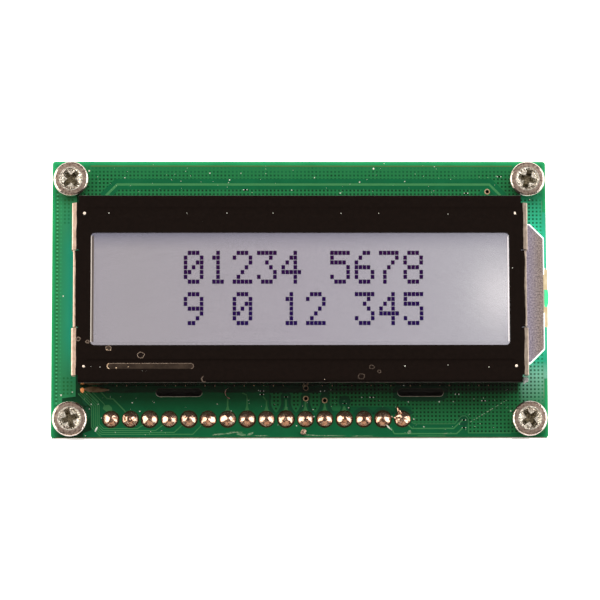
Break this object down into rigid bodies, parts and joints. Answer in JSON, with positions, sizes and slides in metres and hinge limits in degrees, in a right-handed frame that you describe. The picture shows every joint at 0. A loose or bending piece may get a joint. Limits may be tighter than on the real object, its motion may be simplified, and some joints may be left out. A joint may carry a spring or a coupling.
{
  "type": "character lcd module",
  "caption": "Character display module: framed and side-lit liquid crystal display on a circuit board, with a pin header behind it and screws in hexagon spacers.",
  "frame": {"origin": "under the middle of the circuit board, on the surface that the four spacers stand on", "axes": "+X along the rows of characters, +Y towards the upper row, +Z out of the display's face"},
  "size_m": [0.065, 0.0364, 0.0171],
  "materials": {
    "solder_mask": "green solder mask on glass-epoxy",
    "black_sheet": "satin black coating on steel sheet",
    "polariser": "film with a fine anti-glare surface",
    "glass": "float glass",
    "seal_resin": "printed epoxy",
    "white_film": "white diffusing film",
    "clear_acrylic": "clear moulded acrylic",
    "white_plastic": "white moulded plastic",
    "grey_tape": "grey metallised tape, finely crinkled",
    "zebra_rubber": "layered conductive silicone",
    "black_plastic": "black moulded plastic",
    "gold_pins": "gold-flashed brass",
    "solder": "bright solder",
    "black_resin": "black encapsulant",
    "chip_black": "glazed resistor body with tinned ends",
    "chip_tan": "ceramic capacitor body with tinned ends",
    "screw_steel": "nickel plated steel",
    "spacer_brass": "nickel plated brass"
  },
  "bodies": {
    "root": {"circuit_board": "solder_mask", "bezel": "black_sheet", "front_polariser": "polariser", "front_glass": "glass", "cell_seal": "seal_resin", "rear_glass": "glass", "rear_polariser": "polariser", "diffuser_film": "white_film", "light_guide": "clear_acrylic", "reflector_film": "white_film", "backlight_frame": "white_plastic", "backlight_led": "white_plastic", "cover_tape": "grey_tape", "zebra_strip_upper": "zebra_rubber", "zebra_strip_lower": "zebra_rubber", "header_body": "black_plastic", "header_pins": "gold_pins", "solder_joints": "solder", "controller_blob": "black_resin", "driver_blob": "black_resin", "chip_resistors": "chip_black", "chip_capacitors": "chip_tan", "mounting_screws": "screw_steel", "spacers": "spacer_brass"}
  },
  "joints": []
}
